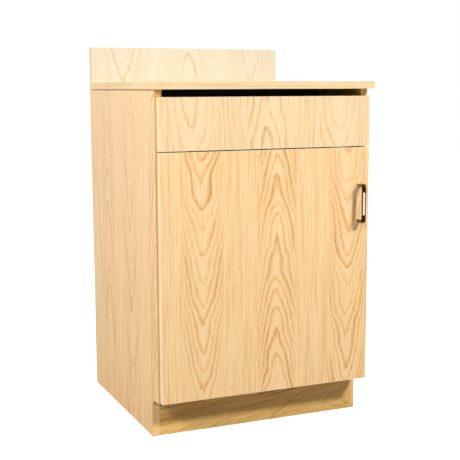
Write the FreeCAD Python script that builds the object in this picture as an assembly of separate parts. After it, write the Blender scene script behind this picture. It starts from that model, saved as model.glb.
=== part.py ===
import FreeCAD, Part
import math
import os

# Waiter service station: a laminated-board cabinet with one drawer over one door.
# Millimetres. +X is to the right, -Y is the front, +Z is up.
# The origin is on the floor, at the middle of the overall box (handle included).

os.makedirs("parts", exist_ok=True)
V = FreeCAD.Vector
AXIS_X = V(1, 0, 0)
AXIS_Y = V(0, 1, 0)
AXIS_Z = V(0, 0, 1)

# ================================================================ driving sizes
# Worktop and backsplash
counter_width = 610.0
counter_depth = 610.0
counter_height = 914.0
backsplash_height = 102.0
counter_side_overhang = 5.0
counter_past_door = 9.0

# Boards, edge bands and the back panel's rabbets
board = 19.0
band = 1.0
band_floor_clearance = 2.0
back_thickness = 6.0
back_rabbet = 10.0
back_rabbet_play = 0.5
back_floor_clearance = 3.0

# Toe space
toe_height = 102.0
toe_recess = 48.0
toe_corner_radius = 20.0

# Fronts and the gaps round them
door_gap = 2.5
side_reveal = 4.5
bottom_reveal = 3.0
front_gap = 3.0
finger_gap = 19.0
drawer_front_height = 132.0

# Rails between the sides
stretcher_width = 90.0
stretcher_setback = 250.0
divider_width = 80.0

# Shelf
shelf_rise = 300.0
shelf_setback = 25.0
shelf_back_gap = 8.0
shelf_end_play = 2.0

# Shelf pins and their holes
pin_hole_radius = 2.6
pin_hole_depth = 11.0
pin_radius = 2.5
pin_length = 10.0
pin_collar_radius = 4.5
pin_collar_thickness = 1.5
pin_tongue_length = 12.0
pin_tongue_width = 8.0
pin_tongue_thickness = 3.0
pin_pitch = 32.0
pin_rows_each_way = 3
pin_column_inset = 60.0

# Drawer box
runner_space = 12.5
drawer_board = 12.0
drawer_box_height = 90.0
drawer_box_depth = 500.0
drawer_lift = 6.0
drawer_bottom_thickness = 6.0
drawer_bottom_rise = 10.0
drawer_groove_depth = 6.0
drawer_groove_play = 0.5
drawer_kept_in = 130.0
box_screw_length = 36.0
box_screw_above_runner = 6.0
box_screw_from_top = 12.5
front_screw_inset = 90.0
front_screw_rise = 29.0
front_screw_drop = 25.0

# Roller runners
steel = 1.2
channel_height = 21.3
channel_reach = 10.3
slide_clearance = 0.5
runner_front_setback = 2.0
runner_flange_reach = 8.3
runner_wrap = 11.0
runner_web_height = 24.0
roller_radius = 10.0
roller_width = 7.0
roller_play = 0.3
roller_groove_radius = 7.5
roller_groove_depth = 1.0
roller_hub_radius = 5.0
axle_radius = 3.0
axle_clearance = 0.05
axle_head_radius = 4.5
axle_head_thickness = 0.6
axle_side_play = 0.1
front_roller_offset = 0.8
rear_roller_offset = 0.8
axle_from_end = 14.0
stop_drop = 6.0
runner_screw_inset = 42.0
runner_screw_count = 3
drawer_runner_screw_length = 9.0

# Pivot hinges, at the door's top and bottom edges
pivot_from_edge = 6.5
leaf_thickness = 2.0
leaf_play = 0.5
leaf_nose = 5.5
leaf_length = 62.0
leaf_depth = 42.0
leaf_screw_shares = (0.45, 0.8)
pivot_radius = 2.0
pivot_play = 0.05
pivot_depth = 10.0
bush_radius = 3.0
bush_length = 11.0
washer_radius = 4.2
washer_play = 0.3

# Magnetic catch
catch_width = 46.0
catch_depth = 14.0
catch_height = 12.0
catch_corner_radius = 2.0
catch_from_side = 66.0
magnet_width = 22.0
magnet_height = 7.0
magnet_depth = 10.0
strike_thickness = 1.2
strike_width = 32.0
strike_height = 10.0

# Handle
handle_hole_spacing = 96.0
handle_leg = 8.0
handle_width = 11.5
handle_reach = 28.0
handle_thickness = 4.5
handle_outer_radius = 7.0
handle_inner_radius = 4.0
handle_edge_radius = 1.2
handle_inset = 29.0
handle_height = 592.0
handle_screw_bite = 10.0
handle_screw_head = 2.2
inlay_from_screw = 18.0
inlay_width = 7.0
inlay_depth = 1.6
inlay_play = 0.1

# Dowels
dowel_radius = 4.0
dowel_in_side = 12.0
dowel_in_board = 18.0
dowel_inset = 25.0
deck_dowel_count = 4
rail_dowel_count = 2

# Screws
fit_play = 0.05
hole_end_play = 0.5
screw_radius = 2.0
screw_bite = 13.0
screw_clearance = 0.3
pan_head_radius = 4.0
pan_head_height = 2.4
small_screw_radius = 1.6
small_screw_length = 13.0
small_head_radius = 3.0
small_head_height = 1.0
slot_depth = 0.6
slot_width = 0.8
slot_share = 0.6
back_screw_inset = 50.0
back_screw_count = 3
counter_screw_inset = 180.0
counter_screw_count = 3
backsplash_screw_inset = 90.0
backsplash_screw_count = 4
backsplash_screw_bite = 32.0

# Soft pads behind the fronts
bumper_radius = 4.0
bumper_play = 0.3
bumper_inset = 9.5
door_bumper_inset = 38.0

# Lengths closer than this count as the same
same_length = 1e-6

# ================================================================ worked out from them
carcass_width = counter_width - 2 * counter_side_overhang
half_width = carcass_width / 2
inner_half = half_width - board
overall_depth = counter_depth - counter_past_door + handle_reach
back_y = overall_depth / 2
counter_front_y = back_y - counter_depth
counter_back_y = back_y - board
door_face_y = counter_front_y + counter_past_door
door_back_y = door_face_y + board
carcass_front_y = door_back_y + door_gap
inside_back_y = back_y - back_thickness
toe_front_y = carcass_front_y + toe_recess
counter_under_z = counter_height - board
backsplash_top_z = counter_height + backsplash_height
deck_top_z = toe_height + board
stretcher_z = counter_under_z - board
front_stretcher_y = carcass_front_y + stretcher_setback
rear_stretcher_y = inside_back_y - stretcher_width
front_half_width = half_width - side_reveal
drawer_front_top_z = counter_under_z - finger_gap
drawer_front_low_z = drawer_front_top_z - drawer_front_height
door_top_z = drawer_front_low_z - front_gap
door_low_z = toe_height + bottom_reveal
divider_z = door_top_z + leaf_play + leaf_thickness
shelf_z = deck_top_z + shelf_rise
pin_hole_z = shelf_z - pin_tongue_thickness / 2
box_low_z = divider_z + board + drawer_lift
box_top_z = box_low_z + drawer_box_height
box_half = inner_half - runner_space
box_inner_half = box_half - drawer_board
box_back_y = door_back_y + drawer_box_depth
drawer_travel = drawer_box_depth - drawer_kept_in
box_front_inner_y = door_back_y + drawer_board
box_back_inner_y = box_back_y - drawer_board
pivot_x = -front_half_width + pivot_from_edge
pivot_y = door_back_y - board / 2
handle_length = handle_hole_spacing + handle_leg
inlay_length = handle_hole_spacing - 2 * inlay_from_screw
handle_x = front_half_width - handle_inset
catch_x = inner_half - catch_from_side
strike_z = divider_z - catch_height / 2


# ================================================================ making and saving
def block(x0, x1, y0, y1, z0, z1):
    """A block between two corners."""
    return Part.makeBox(x1 - x0, y1 - y0, z1 - z0, V(x0, y0, z0))


def rod(start, direction, length, radius):
    return Part.makeCylinder(radius, length, start, direction)


def mirrored(shape):
    """The shape on the other side of the cabinet's middle."""
    return shape.mirror(V(0, 0, 0), AXIS_X)


def both_sides(shapes):
    return shapes + [mirrored(shape) for shape in shapes]


def joined(shapes):
    """Several touching shapes as one clean solid."""
    return shapes[0].multiFuse(shapes[1:]).removeSplitter()


def less(shape, cutters):
    """The shape with every cutter taken out of it."""
    for cutter in cutters:
        shape = shape.cut(cutter)
    return shape


def save(node, shapes):
    """Write one node; several shapes become a group of separate solids."""
    solids = [solid for shape in shapes for solid in shape.Solids]
    Part.makeCompound(solids).exportStep("parts/" + node + ".step")


def evenly(start, end, count):
    """Places spread evenly between two ends, both included."""
    step = (end - start) / (count - 1)
    return [start + step * index for index in range(count)]


def upright_edges(shape, height):
    """The shape's straight upright edges of one height."""
    straight = [edge for edge in shape.Edges if abs(edge.Length - height) < same_length]
    return [edge for edge in straight if abs(edge.BoundBox.ZLength - height) < same_length]


def panel_bands(x0, x1, z0, z1, y0, y1):
    """Four edge bands round an upright panel: two at full height, then top and bottom."""
    return [
        block(x0, x0 + band, y0, y1, z0, z1),
        block(x1 - band, x1, y0, y1, z0, z1),
        block(x0 + band, x1 - band, y0, y1, z1 - band, z1),
        block(x0 + band, x1 - band, y0, y1, z0, z0 + band),
    ]


# ================================================================ fasteners
def cross_slot(top, direction, radius):
    """The cross recess in a screw head, cut down from its top."""
    reach = radius * slot_share
    half = slot_width / 2
    slot = block(-reach, reach, -half, half, 0, slot_depth)
    slot = slot.fuse(block(-half, half, -reach, reach, 0, slot_depth))
    slot.Placement = FreeCAD.Placement(top, FreeCAD.Rotation(AXIS_Z, direction))
    return slot


def screw(seat, direction, length, radius, head_radius, head_height):
    """A screw whose head bears on a surface at seat and whose shank runs along direction."""
    top = seat - direction * head_height
    head = rod(top, direction, head_height, head_radius)
    head = head.cut(cross_slot(top, direction, head_radius))
    return head.fuse(rod(seat, direction, length, radius))


def pan_screw(seat, direction, length):
    return screw(seat, direction, length, screw_radius, pan_head_radius, pan_head_height)


def small_screw(seat, direction, length=small_screw_length):
    return screw(seat, direction, length, small_screw_radius, small_head_radius, small_head_height)


def drills(points, direction, depth, radius):
    return [rod(point, direction, depth, radius) for point in points]


def small_pilots(points, direction, length=small_screw_length):
    """Holes that a small screw's shank just fits."""
    return drills(points, direction, length + hole_end_play, small_screw_radius + fit_play)


# ================================================================ dowelled joints
def row_of_dowels(y0, y1, count, z):
    """Dowel places (y, z) in the end of a level board that runs from y0 to y1."""
    return [(y, z + board / 2) for y in evenly(y0 + dowel_inset, y1 - dowel_inset, count)]


deck_dowels = row_of_dowels(carcass_front_y, inside_back_y, deck_dowel_count, toe_height)
front_stretcher_dowels = row_of_dowels(
    front_stretcher_y, front_stretcher_y + stretcher_width, rail_dowel_count, stretcher_z
)
rear_stretcher_dowels = row_of_dowels(
    rear_stretcher_y, inside_back_y, rail_dowel_count, stretcher_z
)
divider_dowels = row_of_dowels(
    carcass_front_y, carcass_front_y + divider_width, rail_dowel_count, divider_z
)
toe_dowel_heights = evenly(dowel_inset, toe_height - dowel_inset, rail_dowel_count)
toe_front_dowels = [(toe_front_y + board / 2, z) for z in toe_dowel_heights]
toe_rear_dowels = [(inside_back_y - board / 2, z) for z in toe_dowel_heights]
all_dowels = (
    deck_dowels
    + front_stretcher_dowels
    + rear_stretcher_dowels
    + divider_dowels
    + toe_front_dowels
    + toe_rear_dowels
)


def dowel_starts(dowels):
    return [V(-inner_half, y, z) for y, z in dowels]


def side_dowel_holes():
    """Blind holes in the left side's inner face."""
    depth = dowel_in_side + hole_end_play
    return drills(dowel_starts(all_dowels), -AXIS_X, depth, dowel_radius + fit_play)


def end_dowel_holes(dowels):
    """Blind holes in both ends of a cross board."""
    depth = dowel_in_board + hole_end_play
    return both_sides(drills(dowel_starts(dowels), AXIS_X, depth, dowel_radius + fit_play))


def make_dowels():
    length = dowel_in_side + dowel_in_board
    starts = [start - AXIS_X * dowel_in_side for start in dowel_starts(all_dowels)]
    save("carcass_dowels", both_sides(drills(starts, AXIS_X, length, dowel_radius)))


# ================================================================ sides
def side_profile(trim):
    """The left side, cut to its toe notch; trim takes the edge band off its front."""
    front = carcass_front_y + trim
    notch_y = toe_front_y + trim
    notch_z = toe_height + trim
    radius = toe_corner_radius + trim
    centre_y = notch_y - radius
    centre_z = notch_z - radius
    diagonal = radius * math.sqrt(0.5)
    x = -half_width
    arc_low = V(x, notch_y, centre_z)
    arc_middle = V(x, centre_y + diagonal, centre_z + diagonal)
    arc_high = V(x, centre_y, notch_z)
    corners = [
        arc_high,
        V(x, front, notch_z),
        V(x, front, counter_under_z),
        V(x, back_y, counter_under_z),
        V(x, back_y, 0),
        V(x, notch_y, 0),
        arc_low,
    ]
    edges = [Part.LineSegment(a, b).toShape() for a, b in zip(corners, corners[1:])]
    edges.append(Part.Arc(arc_low, arc_middle, arc_high).toShape())
    return Part.Face(Part.Wire(edges)).extrude(V(board, 0, 0))


def shelf_pin_places(rows):
    """Pin hole mouths on the left side's inner face, in a front and a rear column."""
    columns = [carcass_front_y + pin_column_inset, inside_back_y - pin_column_inset]
    return [V(-inner_half, y, pin_hole_z + row * pin_pitch) for y in columns for row in rows]


def make_sides():
    rows = range(-pin_rows_each_way, pin_rows_each_way + 1)
    rabbet = block(-inner_half - back_rabbet, -inner_half, inside_back_y, back_y, 0, counter_under_z)
    cutters = [rabbet]
    cutters += side_dowel_holes()
    cutters += drills(shelf_pin_places(rows), -AXIS_X, pin_hole_depth, pin_hole_radius)
    cutters += small_pilots(cabinet_runner_screw_seats(), -AXIS_X)
    left = less(side_profile(band), cutters)
    save("side_panel_left", [left])
    save("side_panel_right", [mirrored(left)])
    floor_gap = block(-half_width, -inner_half, carcass_front_y, back_y, 0, band_floor_clearance)
    strip = less(side_profile(0), [side_profile(band), floor_gap])
    save("side_edge_bands", both_sides([strip]))


# ================================================================ boards between the sides
def cross_board(y0, y1, z0, dowels):
    return less(block(-inner_half, inner_half, y0, y1, z0, z0 + board), end_dowel_holes(dowels))


def make_deck():
    front = carcass_front_y + band
    deck = cross_board(front, inside_back_y, toe_height, deck_dowels)
    cutters = [leaf_recess()]
    cutters += small_pilots(leaf_screw_seats(toe_height), AXIS_Z)
    cutters += back_screw_pilots(toe_height + board / 2)
    save("bottom_panel", [less(deck, cutters)])


def make_divider():
    front = carcass_front_y + band
    divider = cross_board(front, carcass_front_y + divider_width, divider_z, divider_dowels)
    cutters = small_pilots(leaf_screw_seats(divider_z), AXIS_Z)
    cutters += small_pilots(catch_screw_seats(), AXIS_Z)
    save("drawer_divider_rail", [less(divider, cutters)])


def make_cross_bands():
    """Bands on the front edges of the deck and the divider rail."""
    bands = [
        block(-inner_half, inner_half, carcass_front_y, carcass_front_y + band, z, z + board)
        for z in (toe_height, divider_z)
    ]
    save("cross_board_bands", [less(strip, [leaf_recess()]) for strip in bands])


def make_stretchers():
    front = cross_board(
        front_stretcher_y, front_stretcher_y + stretcher_width, stretcher_z, front_stretcher_dowels
    )
    rear = cross_board(rear_stretcher_y, inside_back_y, stretcher_z, rear_stretcher_dowels)
    clearance = drills(counter_screw_seats(), AXIS_Z, board, screw_radius + screw_clearance)
    rear_cutters = clearance + back_screw_pilots(stretcher_z + board / 2)
    save("top_stretcher_front", [less(front, clearance)])
    save("top_stretcher_rear", [less(rear, rear_cutters)])


def make_toe_boards():
    def toe_board(y0, dowels):
        upright = block(-inner_half, inner_half, y0, y0 + board, 0, toe_height)
        return less(upright, end_dowel_holes(dowels))

    save("toe_board_front", [toe_board(toe_front_y, toe_front_dowels)])
    rear = toe_board(inside_back_y - board, toe_rear_dowels)
    save("toe_board_rear", [less(rear, back_screw_pilots(toe_height / 2))])


# ================================================================ back panel
def back_screw_places(z):
    """The screws along one rail, seen from the back."""
    reach = inner_half - back_screw_inset
    return [V(x, back_y, z) for x in evenly(-reach, reach, back_screw_count)]


def back_screw_pilots(z):
    starts = [V(place.x, inside_back_y, z) for place in back_screw_places(z)]
    return small_pilots(starts, -AXIS_Y, small_screw_length - back_thickness)


def make_back():
    reach = inner_half + back_rabbet - back_rabbet_play
    panel = block(-reach, reach, inside_back_y, back_y, back_floor_clearance, counter_under_z)
    heights = [toe_height / 2, toe_height + board / 2, stretcher_z + board / 2]
    seats = [seat for z in heights for seat in back_screw_places(z)]
    recess = small_head_height
    cutters = drills(seats, -AXIS_Y, recess, small_head_radius + fit_play)
    cutters += drills(seats, -AXIS_Y, back_thickness, small_screw_radius + fit_play)
    save("back_panel", [less(panel, cutters)])
    length = small_screw_length - recess
    screws = [small_screw(seat - AXIS_Y * recess, -AXIS_Y, length) for seat in seats]
    save("back_panel_screws", screws)


# ================================================================ worktop and backsplash
def counter_screw_seats():
    """Heads under the two stretchers; shanks run up into the worktop."""
    reach = inner_half - counter_screw_inset
    places = evenly(-reach, reach, counter_screw_count)
    middles = [front_stretcher_y + stretcher_width / 2, rear_stretcher_y + stretcher_width / 2]
    return [V(x, y, stretcher_z) for y in middles for x in places]


def backsplash_screw_seats():
    """Heads sunk in the backsplash's back; shanks run forward into the worktop's rear edge."""
    reach = inner_half - backsplash_screw_inset
    places = evenly(-reach, reach, backsplash_screw_count)
    return [V(x, back_y - pan_head_height, counter_under_z + board / 2) for x in places]


def make_counter():
    half = counter_width / 2
    front = counter_front_y
    rear = counter_back_y
    core = block(-half + band, half - band, front + band, rear, counter_under_z, counter_height)
    upright_pilots = [V(seat.x, seat.y, counter_under_z) for seat in counter_screw_seats()]
    level_pilots = [V(seat.x, rear, seat.z) for seat in backsplash_screw_seats()]
    pilot_radius = screw_radius + fit_play
    cutters = drills(upright_pilots, AXIS_Z, screw_bite + hole_end_play, pilot_radius)
    cutters += drills(level_pilots, -AXIS_Y, backsplash_screw_bite + hole_end_play, pilot_radius)
    save("countertop", [less(core, cutters)])
    strips = [
        block(-half, half, front, front + band, counter_under_z, counter_height),
        block(-half, -half + band, front + band, rear, counter_under_z, counter_height),
        block(half - band, half, front + band, rear, counter_under_z, counter_height),
    ]
    save("countertop_edge_bands", strips)
    screws = [pan_screw(seat, AXIS_Z, board + screw_bite) for seat in counter_screw_seats()]
    save("countertop_screws", screws)


def make_backsplash():
    """The backsplash stands on the sides, behind the worktop's rear edge."""
    front = counter_back_y
    low = counter_under_z
    top = backsplash_top_z
    core = block(-half_width + band, half_width - band, front, back_y, low, top - band)
    heads = [V(seat.x, back_y, seat.z) for seat in backsplash_screw_seats()]
    cutters = drills(heads, -AXIS_Y, pan_head_height, pan_head_radius + fit_play)
    cutters += drills(heads, -AXIS_Y, board, screw_radius + fit_play)
    save("backsplash", [less(core, cutters)])
    strips = [
        block(-half_width, half_width, front, back_y, top - band, top),
        block(-half_width, -half_width + band, front, back_y, low, top - band),
        block(half_width - band, half_width, front, back_y, low, top - band),
    ]
    save("backsplash_edge_bands", strips)
    length = board - pan_head_height + backsplash_screw_bite
    screws = [pan_screw(seat, -AXIS_Y, length) for seat in backsplash_screw_seats()]
    save("backsplash_screws", screws)


# ================================================================ shelf
def shelf_pin(mouth):
    """A spoon pin on the left side: peg, collar and the tongue that the shelf rests on."""
    peg = rod(mouth - AXIS_X * pin_length, AXIS_X, pin_length, pin_radius)
    collar = rod(mouth, AXIS_X, pin_collar_thickness, pin_collar_radius)
    top = mouth.z + pin_tongue_thickness / 2
    start = mouth.x + pin_collar_thickness
    tongue = block(
        start,
        start + pin_tongue_length,
        mouth.y - pin_tongue_width / 2,
        mouth.y + pin_tongue_width / 2,
        top - pin_tongue_thickness,
        top,
    )
    return joined([peg, collar, tongue])


def make_shelf():
    half = inner_half - shelf_end_play
    front = carcass_front_y + shelf_setback
    rear = inside_back_y - shelf_back_gap
    save("shelf", [block(-half, half, front + band, rear, shelf_z, shelf_z + board)])
    save("shelf_edge_band", [block(-half, half, front, front + band, shelf_z, shelf_z + board)])
    pins = [shelf_pin(mouth) for mouth in shelf_pin_places([0])]
    save("shelf_pins", both_sides(pins))


# ================================================================ drawer
def box_joint_screw_seats():
    """Screw places on the left drawer side's outer face, two for each end board."""
    middles = [door_back_y + drawer_board / 2, box_back_y - drawer_board / 2]
    low = box_low_z + runner_web_height + box_screw_above_runner
    heights = (low, box_top_z - box_screw_from_top)
    return [V(-box_half, y, z) for y in middles for z in heights]


def make_drawer_box():
    groove_z = box_low_z + drawer_bottom_rise
    groove_top = groove_z + drawer_bottom_thickness
    reach = box_inner_half + drawer_groove_depth
    front = box_front_inner_y - drawer_groove_depth
    rear = box_back_inner_y + drawer_groove_depth
    groove = block(-reach, reach, front, rear, groove_z, groove_top)
    play = drawer_groove_play
    bottom = block(-reach + play, reach - play, front + play, rear - play, groove_z, groove_top)
    seats = box_joint_screw_seats()
    sunk = small_head_height
    side = block(-box_half, -box_inner_half, door_back_y, box_back_y, box_low_z, box_top_z)
    side_cutters = [groove]
    side_cutters += drills(seats, AXIS_X, sunk, small_head_radius + fit_play)
    side_cutters += drills(seats, AXIS_X, drawer_board, small_screw_radius + fit_play)
    side_cutters += small_pilots(drawer_runner_screw_seats(), AXIS_Z, drawer_runner_screw_length)
    side = less(side, side_cutters)
    end_pilots = both_sides(small_pilots(seats, AXIS_X, box_screw_length))
    front_board = block(
        -box_inner_half, box_inner_half, door_back_y, box_front_inner_y, box_low_z, box_top_z
    )
    holes = drills(front_screw_seats(), -AXIS_Y, drawer_board, screw_radius + screw_clearance)
    back_board = block(
        -box_inner_half, box_inner_half, box_back_inner_y, box_back_y, box_low_z, box_top_z
    )
    save("drawer_side_left", [side])
    save("drawer_side_right", [mirrored(side)])
    save("drawer_box_front", [less(front_board, [groove] + end_pilots + holes)])
    save("drawer_box_back", [less(back_board, [groove] + end_pilots)])
    save("drawer_bottom", [bottom])
    screws = [
        small_screw(seat + AXIS_X * sunk, AXIS_X, box_screw_length - sunk) for seat in seats
    ]
    save("drawer_box_screws", both_sides(screws))


def front_screw_seats():
    """Heads inside the box front; shanks run forward into the drawer front."""
    reach = box_inner_half - front_screw_inset
    heights = (box_low_z + front_screw_rise, box_top_z - front_screw_drop)
    return [V(x, box_front_inner_y, z) for z in heights for x in (-reach, reach)]


def make_drawer_front():
    half = front_half_width
    low = drawer_front_low_z
    top = drawer_front_top_z
    core = block(-half + band, half - band, door_face_y, door_back_y, low + band, top - band)
    pilots = [V(seat.x, door_back_y, seat.z) for seat in front_screw_seats()]
    cutters = drills(pilots, -AXIS_Y, screw_bite + hole_end_play, screw_radius + fit_play)
    save("drawer_front", [less(core, cutters)])
    bands = panel_bands(-half, half, low, top, door_face_y, door_back_y)
    save("drawer_front_edge_bands", bands)
    length = drawer_board + screw_bite
    save("drawer_front_screws", [pan_screw(seat, -AXIS_Y, length) for seat in front_screw_seats()])
    save("drawer_bumpers", both_sides([bumper(top - bumper_inset)]))


def bumper(z):
    """A soft pad on a front's back face, over the middle of the left side's edge."""
    start = V(-inner_half - board / 2, door_back_y, z)
    return rod(start, AXIS_Y, door_gap - bumper_play, bumper_radius)


# ================================================================ roller runners
runner_front_y = carcass_front_y + runner_front_setback
runner_back_y = box_back_y
track_z = box_low_z + runner_web_height - steel - channel_height - steel - slide_clearance
front_axle_y = runner_front_y + axle_from_end
front_axle_z = box_low_z + runner_web_height - steel - roller_play - roller_radius
rear_axle_y = runner_back_y - axle_from_end
rear_axle_z = track_z + roller_play + roller_radius


def cabinet_runner_screw_seats():
    """Screw places on the left side's inner face, low in the channel's web."""
    z = track_z + small_head_radius + slide_clearance
    ends = (runner_front_y + runner_screw_inset, runner_back_y - runner_screw_inset)
    return [V(-inner_half, y, z) for y in evenly(*ends, runner_screw_count)]


def drawer_runner_screw_seats():
    """Screw places on the left drawer side's bottom edge."""
    x = -box_half + drawer_board / 2
    ends = (door_back_y + runner_screw_inset, box_back_y - runner_screw_inset)
    return [V(x, y, box_low_z) for y in evenly(*ends, runner_screw_count)]


def roller(x0, y, z):
    """A roller with a turned groove in each face, bored to run on its axle."""
    start = V(x0, y, z)
    wheel = rod(start, AXIS_X, roller_width, roller_radius)
    cutters = [rod(start, AXIS_X, roller_width, axle_radius + axle_clearance)]
    for face_x in (x0, x0 + roller_width - roller_groove_depth):
        mouth = V(face_x, y, z)
        ring = rod(mouth, AXIS_X, roller_groove_depth, roller_groove_radius)
        cutters.append(ring.cut(rod(mouth, AXIS_X, roller_groove_depth, roller_hub_radius)))
    return less(wheel, cutters)


def axle(web_x, toward, far_x, y, z):
    """A riveted stub axle: it starts on a runner's web and ends in a thin head."""
    length = abs(far_x - web_x)
    pin = rod(V(web_x, y, z), AXIS_X * toward, length, axle_radius)
    head = rod(V(far_x, y, z), AXIS_X * toward, axle_head_thickness, axle_head_radius)
    return [pin, head]


def make_cabinet_runner():
    wall = -inner_half
    lip = wall + channel_reach
    front = runner_front_y
    back = runner_back_y
    cover_start = front_axle_y + 2 * roller_radius
    cover_z = track_z + channel_height
    web = block(wall, wall + steel, front, back, track_z - steel, cover_z + steel)
    track = block(wall, lip, front, back, track_z - steel, track_z)
    cover = block(wall, lip, cover_start, back, cover_z, cover_z + steel)
    stop_y = rear_axle_y - drawer_travel - roller_radius - slide_clearance - steel
    stop = block(lip - channel_reach / 2, lip, stop_y, stop_y + steel, cover_z - stop_drop, cover_z)
    roller_x = wall + steel + front_roller_offset
    far_x = roller_x + roller_width + axle_side_play
    pieces = [web, track, cover, stop]
    pieces += axle(wall + steel, 1, far_x, front_axle_y, front_axle_z)
    holes = drills(cabinet_runner_screw_seats(), AXIS_X, steel, small_screw_radius + fit_play)
    runner = less(joined(pieces), holes)
    save("cabinet_runner_left", [runner])
    save("cabinet_runner_right", [mirrored(runner)])
    wheel = roller(roller_x, front_axle_y, front_axle_z)
    save("front_roller_left", [wheel])
    save("front_roller_right", [mirrored(wheel)])
    seats = [seat + AXIS_X * steel for seat in cabinet_runner_screw_seats()]
    save("cabinet_runner_screws", both_sides([small_screw(seat, -AXIS_X) for seat in seats]))


def make_drawer_runner():
    wall = -box_half
    front = carcass_front_y + slide_clearance
    back = runner_back_y
    top = box_low_z + runner_web_height
    low = box_low_z - steel
    web = block(wall - steel, wall, front, back, low, top)
    wrap = block(wall - steel, wall + runner_wrap, front, back, low, box_low_z)
    flange = block(wall - steel - runner_flange_reach, wall, front, back, top - steel, top)
    roller_x = wall - steel - rear_roller_offset - roller_width
    far_x = roller_x - axle_side_play
    pieces = [web, wrap, flange] + axle(wall - steel, -1, far_x, rear_axle_y, rear_axle_z)
    seats = [seat - AXIS_Z * steel for seat in drawer_runner_screw_seats()]
    holes = drills(seats, AXIS_Z, steel, small_screw_radius + fit_play)
    runner = less(joined(pieces), holes)
    save("drawer_runner_left", [runner])
    save("drawer_runner_right", [mirrored(runner)])
    wheel = roller(roller_x, rear_axle_y, rear_axle_z)
    save("rear_roller_left", [wheel])
    save("rear_roller_right", [mirrored(wheel)])
    screws = [small_screw(seat, AXIS_Z, drawer_runner_screw_length) for seat in seats]
    save("drawer_runner_screws", both_sides(screws))


# ================================================================ pivot hinges
def leaf(z):
    """A flat hinge leaf: it reaches past the side's edge and carries the pivot in its nose."""
    nose_x = pivot_x - leaf_nose
    far_x = -inner_half + leaf_length
    reach_back = carcass_front_y - slide_clearance
    bar = block(nose_x, far_x, pivot_y - leaf_nose, reach_back, z, z + leaf_thickness)
    seat = block(
        -inner_half + slide_clearance,
        far_x,
        pivot_y - leaf_nose,
        carcass_front_y + leaf_depth,
        z,
        z + leaf_thickness,
    )
    plate = joined([bar, seat])
    corners = upright_edges(plate, leaf_thickness)
    front_corners = [edge for edge in corners if edge.BoundBox.YMax < pivot_y]
    rear_corners = [edge for edge in corners if edge.BoundBox.YMin > carcass_front_y]
    return plate.makeFillet(leaf_nose / 2, front_corners + rear_corners)


def leaf_recess():
    """The housing that the lower leaf is let into, under the deck's front corner."""
    return block(
        -inner_half,
        -inner_half + leaf_length + slide_clearance,
        carcass_front_y - band,
        carcass_front_y + leaf_depth + slide_clearance,
        lower_leaf_z(),
        lower_leaf_z() + leaf_thickness,
    )


def lower_leaf_z():
    return door_low_z - (bottom_reveal - leaf_thickness) - leaf_thickness


def upper_leaf_z():
    return door_top_z + leaf_play


def leaf_screw_seats(z):
    """Screws through each leaf, up into the board above it."""
    y = carcass_front_y + leaf_depth / 2
    return [V(-inner_half + leaf_length * share, y, z) for share in leaf_screw_shares]


def make_hinges():
    leaves = []
    screws = []
    for z in (lower_leaf_z(), upper_leaf_z()):
        pivot_hole = rod(V(pivot_x, pivot_y, z), AXIS_Z, leaf_thickness, pivot_radius + fit_play)
        seats = leaf_screw_seats(z)
        screw_holes = drills(seats, AXIS_Z, leaf_thickness, small_screw_radius + fit_play)
        leaves.append(less(leaf(z), [pivot_hole] + screw_holes))
        screws += [small_screw(seat, AXIS_Z) for seat in seats]
    save("hinge_leaves", leaves)
    save("hinge_leaf_screws", screws)
    lower_start = V(pivot_x, pivot_y, lower_leaf_z())
    upper_start = V(pivot_x, pivot_y, upper_leaf_z() + leaf_thickness)
    lower_length = door_low_z + pivot_depth - lower_leaf_z()
    upper_length = upper_leaf_z() + leaf_thickness - door_top_z + pivot_depth
    save("hinge_pins", [
        rod(lower_start, AXIS_Z, lower_length, pivot_radius),
        rod(upper_start, -AXIS_Z, upper_length, pivot_radius),
    ])
    washer_low = lower_leaf_z() + leaf_thickness
    washer_height = door_low_z - washer_play - washer_low
    washer_start = V(pivot_x, pivot_y, washer_low)
    washer = rod(washer_start, AXIS_Z, washer_height, washer_radius)
    hole = rod(washer_start, AXIS_Z, washer_height, pivot_radius + pivot_play)
    save("hinge_washer", [washer.cut(hole)])


def bush_places():
    """Where each bush starts in the door's edge, and which way it goes in."""
    return [(V(pivot_x, pivot_y, door_low_z), AXIS_Z), (V(pivot_x, pivot_y, door_top_z), -AXIS_Z)]


def bush_holes():
    return [rod(start, way, bush_length, bush_radius + fit_play) for start, way in bush_places()]


def make_bushes():
    bushes = []
    for start, way in bush_places():
        outside = rod(start, way, bush_length, bush_radius)
        bushes.append(outside.cut(rod(start, way, bush_length, pivot_radius + pivot_play)))
    save("hinge_bushes", bushes)


# ================================================================ magnetic catch
def catch_screw_seats():
    """Screw places on the divider's underside, either side of the magnet."""
    reach = (catch_width + magnet_width) / 4
    y = carcass_front_y + catch_depth / 2
    return [V(catch_x + side * reach, y, divider_z) for side in (-1, 1)]


def catch_front_y():
    return door_back_y + strike_thickness + bumper_play


def make_catch():
    middle = catch_x
    reach = catch_width / 2
    front = catch_front_y()
    rear = carcass_front_y + catch_depth
    low = divider_z - catch_height
    housing = block(middle - reach, middle + reach, front, rear, low, divider_z)
    housing = housing.makeFillet(catch_corner_radius, upright_edges(housing, catch_height))
    pocket = block(
        middle - magnet_width / 2,
        middle + magnet_width / 2,
        front,
        front + magnet_depth,
        strike_z - magnet_height / 2,
        strike_z + magnet_height / 2,
    )
    heads = [seat - AXIS_Z * catch_height for seat in catch_screw_seats()]
    sink = small_head_height
    holes = drills(heads, AXIS_Z, sink, small_head_radius + fit_play)
    holes += drills(heads, AXIS_Z, catch_height, small_screw_radius + fit_play)
    save("catch_body", [less(housing, [pocket] + holes)])
    save("catch_magnet", [pocket])
    length = catch_height - sink + small_screw_length
    save("catch_screws", [small_screw(head + AXIS_Z * sink, AXIS_Z, length) for head in heads])


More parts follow.
